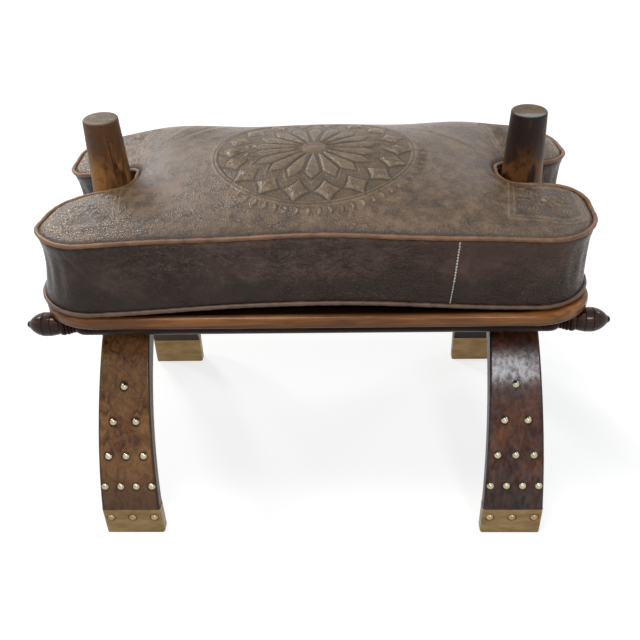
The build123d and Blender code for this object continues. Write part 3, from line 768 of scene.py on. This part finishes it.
MEDALLION_TINT_FROM, MEDALLION_TINT_TO = (RING + 11) * MM, (RING - 11) * MM
BAND_DARK_FROM, BAND_DARK_TO = (SEAM_HIGH - 26) * MM, (SEAM_HIGH - 62) * MM
BAND_WARM_FROM, BAND_WARM_TO = (SEAM_HIGH - 52) * MM, (SEAM_HIGH - 12) * MM
BAND_LINES_FROM, BAND_LINES_TO = (SEAM_HIGH - 56) * MM, (SEAM_HIGH - 40) * MM


def olive_middle(m, colour):
    """The crown's hide is more olive inside the medallion."""
    out = m.vector("LENGTH", m.stretch((1, 1, 0)), output="Value")
    return m.mix(m.span(out, MEDALLION_TINT_FROM, MEDALLION_TINT_TO, 0, 0.45), colour, rgb(104, 82, 52))


def band_tints_and_shade(m, colour, broad, wrinkle):
    """The band is given painted shade below, leaving a painted sheen on its upper half; it is also darker at
    its left, redder at its right, and lined in its upper half.
    """
    height = m.calc("ADD", m.axis("Z"), m.span(broad, 0.3, 0.7, -0.014, 0.014))
    # Painted shade towards the bottom of the band.
    colour = m.mix(m.span(height, BAND_DARK_FROM, BAND_DARK_TO, 0, 0.75, True), colour, rgb(46, 36, 27))
    colour = m.mix(m.span(m.axis("X"), -0.1, -0.24, 0, 0.6), colour, rgb(40, 30, 22))
    warm = m.calc("MULTIPLY", m.span(m.axis("X"), 0.02, 0.17), m.span(height, BAND_WARM_FROM, BAND_WARM_TO))
    colour = m.mix(m.calc("MULTIPLY", warm, 0.55), colour, rgb(84, 58, 40))
    colour = m.mix(m.calc("MULTIPLY", wrinkle, 0.5), colour, rgb(118, 98, 88))
    lines = m.off_middle(m.noise(75, 4, 0.6, m.stretch((0.5, 1.0, 1.1)), 1.6))
    lines = m.calc("MULTIPLY", m.span(lines, 0.03, 0.0), m.span(height, BAND_LINES_FROM, BAND_LINES_TO))
    aside = m.calc("ABSOLUTE", m.calc("ADD", m.axis("X"), 0.06))
    lines = m.calc("MULTIPLY", lines, m.span(aside, 0.2, 0.1))
    return m.mix(m.calc("MULTIPLY", lines, 0.5), colour, rgb(132, 110, 96))


def leather_relief(m, wrinkle, band):
    """Soft folds, scratches, wrinkles, pebbles and pores, each as strength and depth in metres."""
    soft = m.noise(34, 4, 0.55, warp=0.4)
    scratch = m.noise(60, 6, 0.7, m.stretch((0.35, 1.0, 1.0), (0.0, 0.5, 0.0)), 1.2)
    normal = m.bump(soft, 0.5 if band else 0.28, 0.003)
    normal = m.bump(scratch, 0.45 if band else 0.16, 0.0018, normal)
    normal = m.bump(wrinkle, 0.8 if band else 0.2, 0.0012, normal)
    normal = m.bump(m.cells(560), 0.4 if band else 0.72, 0.0008, normal)
    return m.bump(m.noise(900, 2, 0.5), 0.18, 0.0005, normal)


def leather(name, dark, mid, light, band=False):
    m = Shader(name, Coat_Weight=0.0, Specular_IOR_Level=0.2 if band else 0.4)
    broad = m.noise(11, 5, 0.6, warp=0.8)
    mottle = m.noise(70, 6, 0.68, warp=0.3)
    tone = m.blend(broad, mottle, 0.5 if band else 0.28)
    colour = m.ramp(m.span(tone, 0.36, 0.64), (0.0, dark), (0.5, mid), (1.0, light))
    if not band:
        colour = olive_middle(m, colour)
    flecks = m.span(m.noise(520, 2, 0.6), 0.54, 0.7)
    colour = m.mix(m.calc("MULTIPLY", flecks, 0.5), colour, light)
    # Paler where rubbed: wear, with painted highlight on the ornament's facets and along the roll under the
    # upper piping.
    pale = m.calc("MULTIPLY", m.attribute("rub"), m.span(m.noise(160, 3), 0.3, 0.6))
    colour = m.mix(m.calc("MULTIPLY", pale, 0.75, True), colour, rgb(176, 156, 128))
    wrinkle = m.off_middle(m.noise(46, 5, 0.62, m.stretch((0.7, 1.0, 1.3)), 2.2))
    patches = m.span(m.noise(9, 3, 0.5), 0.42, 0.6)
    wrinkle = m.calc("MULTIPLY", m.span(wrinkle, 0.05, 0.0, 0, 1, True), patches)
    if band:
        colour = band_tints_and_shade(m, colour, broad, wrinkle)
    # Darker by painted shade: in creases by the seams, in the emboss's hollows and grooves, and on the sole.
    shade_amount = m.attribute("shade")
    m.set("Base Color", m.mix(m.calc("MULTIPLY", shade_amount, 0.8, True), colour, rgb(28, 19, 14)))
    m.set("Roughness", m.calc("ADD", m.span(mottle, 0.3, 0.7, 0.21, 0.35), m.calc("MULTIPLY", shade_amount, 0.15)))
    m.set("Normal", leather_relief(m, wrinkle, band))
    return m.material


def cord_leather(name, dark, light):
    m = Shader(name, Coat_Weight=0.1, Coat_Roughness=0.25, Specular_IOR_Level=0.4)
    tone = m.noise(60, 5, 0.6)
    m.set("Base Color", m.ramp(m.span(tone, 0.3, 0.7), (0, dark), (1, light)))
    m.set("Roughness", m.span(tone, 0.3, 0.7, 0.38, 0.55))
    m.set("Normal", m.bump(m.noise(500, 3), 0.3, 0.0008))
    return m.material


# Wood, with the reach of each tint in metres

def rows_of_nails(heights, spacings, counts):
    """Places of nails across and up a leg, in metres, from rows given in millimetres."""
    return [((k - (count - 1) / 2) * gap * MM, height * MM)
            for height, gap, count in zip(heights, spacings, counts) for k in range(count)]


LEG_NAILS = rows_of_nails((187, 151.5, 113, 75), (0, 28.3, 22, 19.7), (1, 2, 3, 4))
CAP_NAILS = rows_of_nails((28.5,), (27.8,), (3,))
LEG_TAPER = 0.0265
LEG_EDGE_FROM, LEG_EDGE_TO = 0.0335, 0.0362
NAIL_RING_FROM, NAIL_RING_TO = 0.0068, 0.0048
CAP_RING_FROM, CAP_RING_TO = 0.0069, 0.0052
LEG_SHADOW_FROM, LEG_SHADOW_TO = (RAIL_LOW - 4) * MM, (RAIL_LOW + 1) * MM
UNDER_CORNER, UNDER_BLUR = 90, 2.5
UNDER_MIDDLE = ((HALF_LENGTH + 2 - UNDER_CORNER) * MM, (HALF_DEPTH + 6 - UNDER_CORNER) * MM, 0)
UNDER_FROM, UNDER_TO = (UNDER_CORNER + UNDER_BLUR) * MM, (UNDER_CORNER - UNDER_BLUR) * MM
RIM_DARK_FROM, RIM_DARK_TO = (BOARD_HIGH - 7.5) * MM, (BOARD_LOW + 0.5) * MM
POST_YELLOW_FROM, POST_YELLOW_TO = (POST_TOP - 20) * MM, (POST_TOP - 50) * MM
POST_CROWN_FROM, POST_CROWN_TO = (POST_TOP - 42) * MM, (POST_TOP - 28) * MM
FINIAL_FROM, FINIAL_TO = 0.28, 0.3


def legs_wood(name, dark, mid, light, low, figure, coat):
    """Lacquered wood with mottled grain, darker below and round its nails, with painted shade at its edges
    and on its side and inner faces, and a painted shadow from the rail up.
    """
    m = Shader(name, Coat_Roughness=0.16, Specular_IOR_Level=0.16)
    grain = m.noise(95, 8, 0.64, m.stretch((1.0, 1.0, 0.24), offset=figure), 1.5)
    fine = m.noise(620, 3, 0.6, m.stretch((1.0, 1.0, 0.05), offset=figure))
    cloud = m.noise(20, 3, 0.5, m.stretch((1.0, 1.0, 0.6), offset=figure), 0.8)
    streaks = m.noise(170, 4, 0.6, m.stretch((1.0, 1.0, 0.22), offset=figure))
    colour = m.ramp(m.span(m.blend(grain, cloud, 0.6), 0.37, 0.61), (0.0, dark), (0.45, mid), (1.0, light))
    colour = m.mix(m.span(fine, 0.52, 0.7, 0, 0.4), colour, dark)
    colour = m.mix(m.span(m.axis("Z"), 0.13, 0.03, 0, 0.8, True), colour, low)
    # Painted shade along the leg's rounded edges.
    side = m.calc("ABSOLUTE", m.calc("SUBTRACT", m.calc("ABSOLUTE", m.axis("X")), LEG_X * MM))
    side = m.calc("ADD", side, m.calc("MULTIPLY", m.axis("Z"), LEG_TAPER))
    colour = m.mix(m.span(side, LEG_EDGE_FROM, LEG_EDGE_TO, 0, 0.75, True), colour, rgb(34, 19, 13))
    # Darker in a ring round each nail.
    nail_ring = m.span(m.nearest(LEG_NAILS), NAIL_RING_FROM, NAIL_RING_TO, 0, 0.85, True)
    colour = m.mix(nail_ring, colour, rgb(24, 14, 9))
    # Painted shadow from the rail up.
    shadow = m.calc("ADD", m.axis("Z"), m.span(cloud, 0.3, 0.7, -0.002, 0.002))
    colour = m.mix(m.span(shadow, LEG_SHADOW_FROM, LEG_SHADOW_TO, 0, 0.72, True), colour, rgb(38, 21, 13))
    # The side and inner faces take the low colour as painted shade, and have no coat.
    face = m.span(m.outward(), 0.3, 0.7)
    m.set("Base Color", m.mix(face, low, colour))
    m.set("Roughness", m.span(grain, 0.3, 0.7, 0.24, 0.4))
    m.set("Coat Weight", m.calc("MULTIPLY", face, m.span(streaks, 0.38, 0.6, 0.15, coat)))
    normal = m.bump(streaks, 0.2, 0.0006, m.bump(fine, 0.12, 0.0004))
    m.set("Normal", m.bump(m.noise(60, 4), 0.2, 0.002, normal))
    return m.material


def board_wood():
    """Orange brown wood, with a painted shadow under the cushion and painted shade at the foot of its rim."""
    m = Shader("wood_board", Coat_Weight=0.18, Coat_Roughness=0.14, Specular_IOR_Level=0.2)
    grain = m.noise(150, 7, 0.6, m.stretch((0.1, 1.0, 1.0)), 0.8)
    cloud = m.noise(26, 3, 0.5, m.stretch((0.35, 1.0, 1.0)))
    colour = m.ramp(m.span(m.blend(grain, cloud, 0.6), 0.35, 0.65),
                    (0.0, rgb(84, 44, 18)), (0.5, rgb(132, 80, 38)), (1.0, rgb(172, 114, 60)))
    # Painted shadow on the top under the cushion.
    past = m.vector("SUBTRACT", m.vector("ABSOLUTE", m.stretch((1, 1, 0))), UNDER_MIDDLE)
    past = m.vector("LENGTH", m.vector("MAXIMUM", past), output="Value")
    under = m.calc("MULTIPLY", m.span(m.facing("Z"), 0.72, 0.84), m.span(past, UNDER_FROM, UNDER_TO))
    colour = m.mix(m.calc("MULTIPLY", under, 0.97), colour, rgb(20, 13, 9))
    # Painted shade on the lower side of the rim.
    colour = m.mix(m.span(m.axis("Z"), RIM_DARK_FROM, RIM_DARK_TO, 0, 0.7, True), colour, rgb(64, 34, 17))
    m.set("Base Color", colour)
    m.set("Roughness", m.span(grain, 0.3, 0.7, 0.24, 0.42))
    m.set("Normal", m.bump(grain, 0.12, 0.0008))
    return m.material


def rail_wood():
    """Dark turned wood, lacquered at its ends."""
    m = Shader("wood_rail", Coat_Roughness=0.14, Specular_IOR_Level=0.08)
    grain = m.noise(140, 6, 0.6, m.stretch((0.12, 1.0, 1.0)), 0.7)
    m.set("Base Color", m.ramp(m.span(grain, 0.35, 0.68),
                               (0.0, rgb(18, 10, 7)), (0.6, rgb(48, 24, 16)), (1.0, rgb(96, 50, 32))))
    m.set("Coat Weight", m.span(m.calc("ABSOLUTE", m.axis("X")), FINIAL_FROM, FINIAL_TO, 0, 0.4))
    m.set("Roughness", m.span(grain, 0.3, 0.7, 0.26, 0.42))
    m.set("Normal", m.bump(grain, 0.12, 0.0006))
    return m.material


def post_wood(name, tones, crown_tone, patch, offset, facet):
    """Rough streaked wood with yellow patches, stained near its top and worn grey on it."""
    m = Shader(name, Coat_Weight=0.05, Coat_Roughness=0.3, Specular_IOR_Level=0.2)
    dark, mid, light, patch_tone = tones
    grain = m.noise(120, 8, 0.65, m.stretch((1.0, 1.0, 0.16), offset=offset), 1.0)
    streak = m.noise(38, 4, 0.55, m.stretch((1.0, 1.0, 0.35), offset=offset), 0.9)
    colour = m.ramp(m.span(grain, 0.34, 0.66), (0.0, dark), (0.5, mid), (1.0, light))
    below = m.span(m.axis("Z"), POST_YELLOW_FROM, POST_YELLOW_TO, 0, 1)
    yellow = m.calc("MULTIPLY", m.span(streak, 0.46, 0.56), below)
    colour = m.mix(m.calc("MULTIPLY", yellow, patch, True), colour, patch_tone)
    edge = m.calc("ADD", m.axis("Z"), m.span(streak, 0.3, 0.7, -0.03, 0.03))
    colour = m.mix(m.span(edge, POST_CROWN_FROM, POST_CROWN_TO, 0, 0.85), colour, crown_tone)
    colour = m.mix(m.span(m.noise(150, 5, 0.7), 0.55, 0.7, 0, 0.6), colour, rgb(40, 22, 14))
    pale = m.ramp(m.noise(90, 6, 0.6),
                  (0.3, rgb(74, 62, 48)), (0.55, rgb(104, 90, 72)), (0.75, rgb(140, 122, 96)))
    if facet:
        front = m.calc("ADD", m.axis("Y"), m.span(m.noise(60, 3), 0.3, 0.7, -0.003, 0.003))
        pale = m.mix(m.span(front, -0.007, -0.010), m.mix(0.5, pale, rgb(92, 62, 38)), rgb(128, 132, 124))
    m.set("Base Color", m.mix(m.span(m.facing("Z"), 0.75, 0.95), colour, pale))
    m.set("Roughness", m.span(grain, 0.3, 0.7, 0.4, 0.6))
    m.set("Normal", m.bump(grain, 0.55, 0.0015))
    return m.material


# Metal and thread

def brass(name, dark, light, rough, dark_edge=0.0, rings_round=()):
    m = Shader(name, Metallic=1.0)
    tarnish = m.noise(60, 5, 0.6, m.stretch((0.5, 0.5, 1.6)))
    colour = m.ramp(m.span(tarnish, 0.3, 0.7), (0.0, dark), (1.0, light))
    if rings_round:
        # Darker in a ring round each nail of the cap.
        nail_ring = m.span(m.nearest(rings_round), CAP_RING_FROM, CAP_RING_TO, 0, 0.75, True)
        colour = m.mix(nail_ring, colour, rgb(52, 38, 24))
    if dark_edge:
        # Painted shade on the rims of the heads, where they turn from view.
        rim = node(m.tree, "ShaderNodeLayerWeight", {"Blend": 0.5}).outputs["Facing"]
        colour = m.mix(m.span(rim, 0.28, 0.7, 0, dark_edge), colour, rgb(40, 29, 20))
    m.set("Base Color", colour)
    m.set("Roughness", m.span(m.noise(300, 4), 0.3, 0.7, rough, rough + 0.16))
    m.set("Normal", m.bump(m.noise(70, 3), 0.12, 0.001))
    return m.material


def steel():
    m = Shader("metal_screws", Metallic=1.0)
    m.set("Base Color", m.ramp(m.noise(200, 4), (0.3, rgb(120, 118, 114)), (0.7, rgb(160, 158, 152))))
    m.set("Roughness", m.span(m.noise(400, 3), 0.3, 0.7, 0.3, 0.5))
    return m.material


def cotton():
    m = Shader("thread_cotton", Sheen_Weight=0.3)
    twist = node(m.tree, "ShaderNodeTexWave",
                 {"Vector": m.place, "Scale": 1500, "Distortion": 1.0, "Detail": 2},
                 bands_direction="DIAGONAL").outputs["Fac"]
    m.set("Base Color", m.ramp(twist, (0.2, rgb(214, 206, 192)), (0.8, rgb(248, 244, 234))))
    m.set("Roughness", m.span(twist, 0, 1, 0.7, 0.85))
    m.set("Normal", m.bump(twist, 0.4, 0.0003))
    return m.material


# Which piece has which material

def assign(obj, material):
    obj.data.materials.clear()
    obj.data.materials.append(material)


top_leather = leather("leather_crown", rgb(62, 45, 32), rgb(96, 75, 55), rgb(132, 107, 82))
side_leather = leather("leather_band", rgb(50, 37, 31), rgb(84, 64, 55), rgb(118, 94, 82), band=True)
tan_piping = cord_leather("leather_piping_tan", rgb(92, 60, 40), rgb(156, 112, 76))
dark_piping = cord_leather("leather_piping_dark", rgb(74, 53, 41), rgb(122, 95, 77))
rail_material = rail_wood()

NODE_MATERIALS = {
    "left_leg": legs_wood("wood_leg_left", rgb(66, 38, 20), rgb(128, 86, 50), rgb(166, 120, 74),
                          rgb(78, 50, 30), (0.3, 0.1, 0), 0.3),
    "right_leg": legs_wood("wood_leg_right", rgb(40, 21, 14), rgb(82, 45, 28), rgb(124, 73, 47),
                           rgb(28, 17, 12), (0.9, 0.7, 0.2), 0.65),
    "foot_cap": brass("brass_cap", rgb(110, 88, 58), rgb(146, 122, 86), 0.34, rings_round=CAP_NAILS),
    "studs": brass("brass_nail", rgb(160, 146, 118), rgb(210, 196, 168), 0.16, dark_edge=0.97),
    "tacks": brass("brass_tack", rgb(150, 126, 88), rgb(190, 164, 122), 0.2, dark_edge=0.97),
    "seat_board": board_wood(),
    "left_post": post_wood("wood_post_left",
                           (rgb(66, 38, 22), rgb(118, 78, 46), rgb(156, 110, 66), rgb(178, 126, 68)),
                           rgb(96, 66, 44), 0.9, (0.0, 0.0, 0.0), facet=False),
    "right_post": post_wood("wood_post_right",
                            (rgb(32, 18, 13), rgb(60, 36, 24), rgb(98, 62, 38), rgb(132, 88, 46)),
                            rgb(27, 19, 20), 0.7, (0.4, 0.3, 0.1), facet=True),
    "rail": rail_material,
    "crown_block": rail_material,
    "post_peg": rail_material,
    "leg_dowels": rail_material,
    "seat_screws": steel(),
}
for name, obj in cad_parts.items():
    for ending, material in NODE_MATERIALS.items():
        if name.endswith(ending):
            assign(obj, material)

for obj, material, nodes, slot in (
        (crown_top, top_leather, ("cushion_top_panel", "cushion_filling"), "cover_leather"),
        (band, side_leather, ("cushion_side_band",), "cover_leather"),
        (sole, side_leather, ("cushion_bottom_panel",), "cover_leather"),
        (pipe_high, tan_piping, ("top_piping",), "piping_leather"),
        (pipe_low, dark_piping, ("bottom_piping",), "piping_leather"),
        (thread, cotton(), (), None)):
    assign(obj, material)
    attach(obj, "cushion")
    if nodes:
        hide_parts(*nodes)


# Studio: floor, world, lights and camera, in metres

FLOOR_HALF = 4.5
GLOW_NEAR, GLOW_FAR, GLOW_LEVEL = 0.9, 2.6, 0.72


def seen_by(tree, *rays):
    """1 for a ray of any of these kinds, else 0."""
    path = node(tree, "ShaderNodeLightPath")
    seen = path.outputs[rays[0]]
    for ray in rays[1:]:
        seen = node(tree, "ShaderNodeMath", {0: seen, 1: path.outputs[ray]}, operation="MAXIMUM").outputs[0]
    return seen


def floor_material():
    """A matte floor that keeps the shadow, and glows white away from the stool."""
    material = bpy.data.materials.new("studio_floor")
    material.use_nodes = True
    tree = material.node_tree
    tree.nodes.clear()
    place = node(tree, "ShaderNodeTexCoord").outputs["Object"]
    out = node(tree, "ShaderNodeVectorMath", {0: place}, operation="LENGTH").outputs["Value"]
    level = node(tree, "ShaderNodeMapRange", {"Value": out, "From Min": GLOW_NEAR, "From Max": GLOW_FAR,
                                              "To Min": GLOW_LEVEL, "To Max": 1.0}).outputs[0]
    seen = seen_by(tree, "Is Camera Ray", "Is Glossy Ray")
    strength = node(tree, "ShaderNodeMath", {0: seen, 1: level}, operation="MULTIPLY").outputs[0]
    glow = node(tree, "ShaderNodeEmission", {"Color": (1, 1, 1, 1), "Strength": strength})
    matte = node(tree, "ShaderNodeBsdfDiffuse", {"Color": (0.5, 0.5, 0.5, 1)})
    both = node(tree, "ShaderNodeAddShader", {0: matte.outputs[0], 1: glow.outputs[0]})
    node(tree, "ShaderNodeOutputMaterial", {0: both.outputs[0]})
    return material


def white_world():
    """A dim sky for light, and plain white where the camera, a reflection or glass sees it."""
    world = bpy.data.worlds.new("studio")
    world.use_nodes = True
    tree = world.node_tree
    tree.nodes.clear()
    seen = seen_by(tree, "Is Camera Ray", "Is Transmission Ray", "Is Glossy Ray")
    sky = node(tree, "ShaderNodeBackground", {"Color": (0.97, 0.98, 1.0, 1), "Strength": 0.25})
    white = node(tree, "ShaderNodeBackground", {"Color": (1, 1, 1, 1), "Strength": 1.0})
    both = node(tree, "ShaderNodeMixShader", {0: seen, 1: sky.outputs[0], 2: white.outputs[0]})
    node(tree, "ShaderNodeOutputWorld", {0: both.outputs[0]})
    return world


def area_light(name, place, target, size, power, colour):
    data = bpy.data.lights.new(name, "AREA")
    data.shape = "RECTANGLE"
    data.size, data.size_y = size
    data.energy = power
    data.color = colour
    obj = bpy.data.objects.new(name, data)
    bpy.context.scene.collection.objects.link(obj)
    obj.location = place
    obj.rotation_euler = (Vector(target) - Vector(place)).to_track_quat("-Z", "Y").to_euler()


corners = np.array([[-1, -1, 0], [1, -1, 0], [1, 1, 0], [-1, 1, 0]])
floor = mesh_object("floor", corners * FLOOR_HALF / MM, [[0, 1, 2, 3]], smooth=False)
assign(floor, floor_material())
bpy.context.scene.world = white_world()

WARM, COOL, COLDER = (1.0, 0.98, 0.95), (0.88, 0.94, 1.0), (0.88, 0.93, 1.0)
area_light("softbox_back", (-1.05, 1.25, 1.25), (-0.15, 0, 0.42), (0.34, 0.24), 9, WARM)
area_light("softbox_left", (-1.55, 0.45, 1.6), (-0.05, 0, 0.42), (0.25, 0.25), 6, WARM)
area_light("softbox_right", (1.6, 0.6, 1.5), (0.1, 0, 0.42), (0.25, 0.25), 3, COLDER)
area_light("softbox_top", (-0.35, -0.45, 2.4), (0, 0, 0.3), (0.6, 0.6), 17, WARM)
area_light("softbox_front", (0.75, -2.2, 2.35), (0.1, 0, 0.25), (0.45, 0.6), 17, COOL)

CAMERA_PLACE = (0.0409, -0.8832, 0.8516)
PITCH, YAW, ROLL = math.radians(36.22), math.radians(-2.67), math.radians(-2.1)
LENS, SENSOR = 46.52, 36.0

ahead = Vector((math.sin(YAW) * math.cos(PITCH), math.cos(YAW) * math.cos(PITCH), -math.sin(PITCH)))
level_right = Vector((math.cos(YAW), -math.sin(YAW), 0))
level_up = level_right.cross(ahead)
right = math.cos(ROLL) * level_right + math.sin(ROLL) * level_up
up = -math.sin(ROLL) * level_right + math.cos(ROLL) * level_up
camera_data = bpy.data.cameras.new("camera")
camera_data.sensor_width = SENSOR
camera_data.lens = LENS
camera_data.clip_start, camera_data.clip_end = 0.05, 50
camera = bpy.data.objects.new("camera", camera_data)
bpy.context.scene.collection.objects.link(camera)
turned = Matrix((right, up, -ahead)).transposed().to_4x4()
camera.matrix_world = Matrix.Translation(CAMERA_PLACE) @ turned
bpy.context.scene.camera = camera
bpy.context.scene.view_settings.view_transform = "Standard"
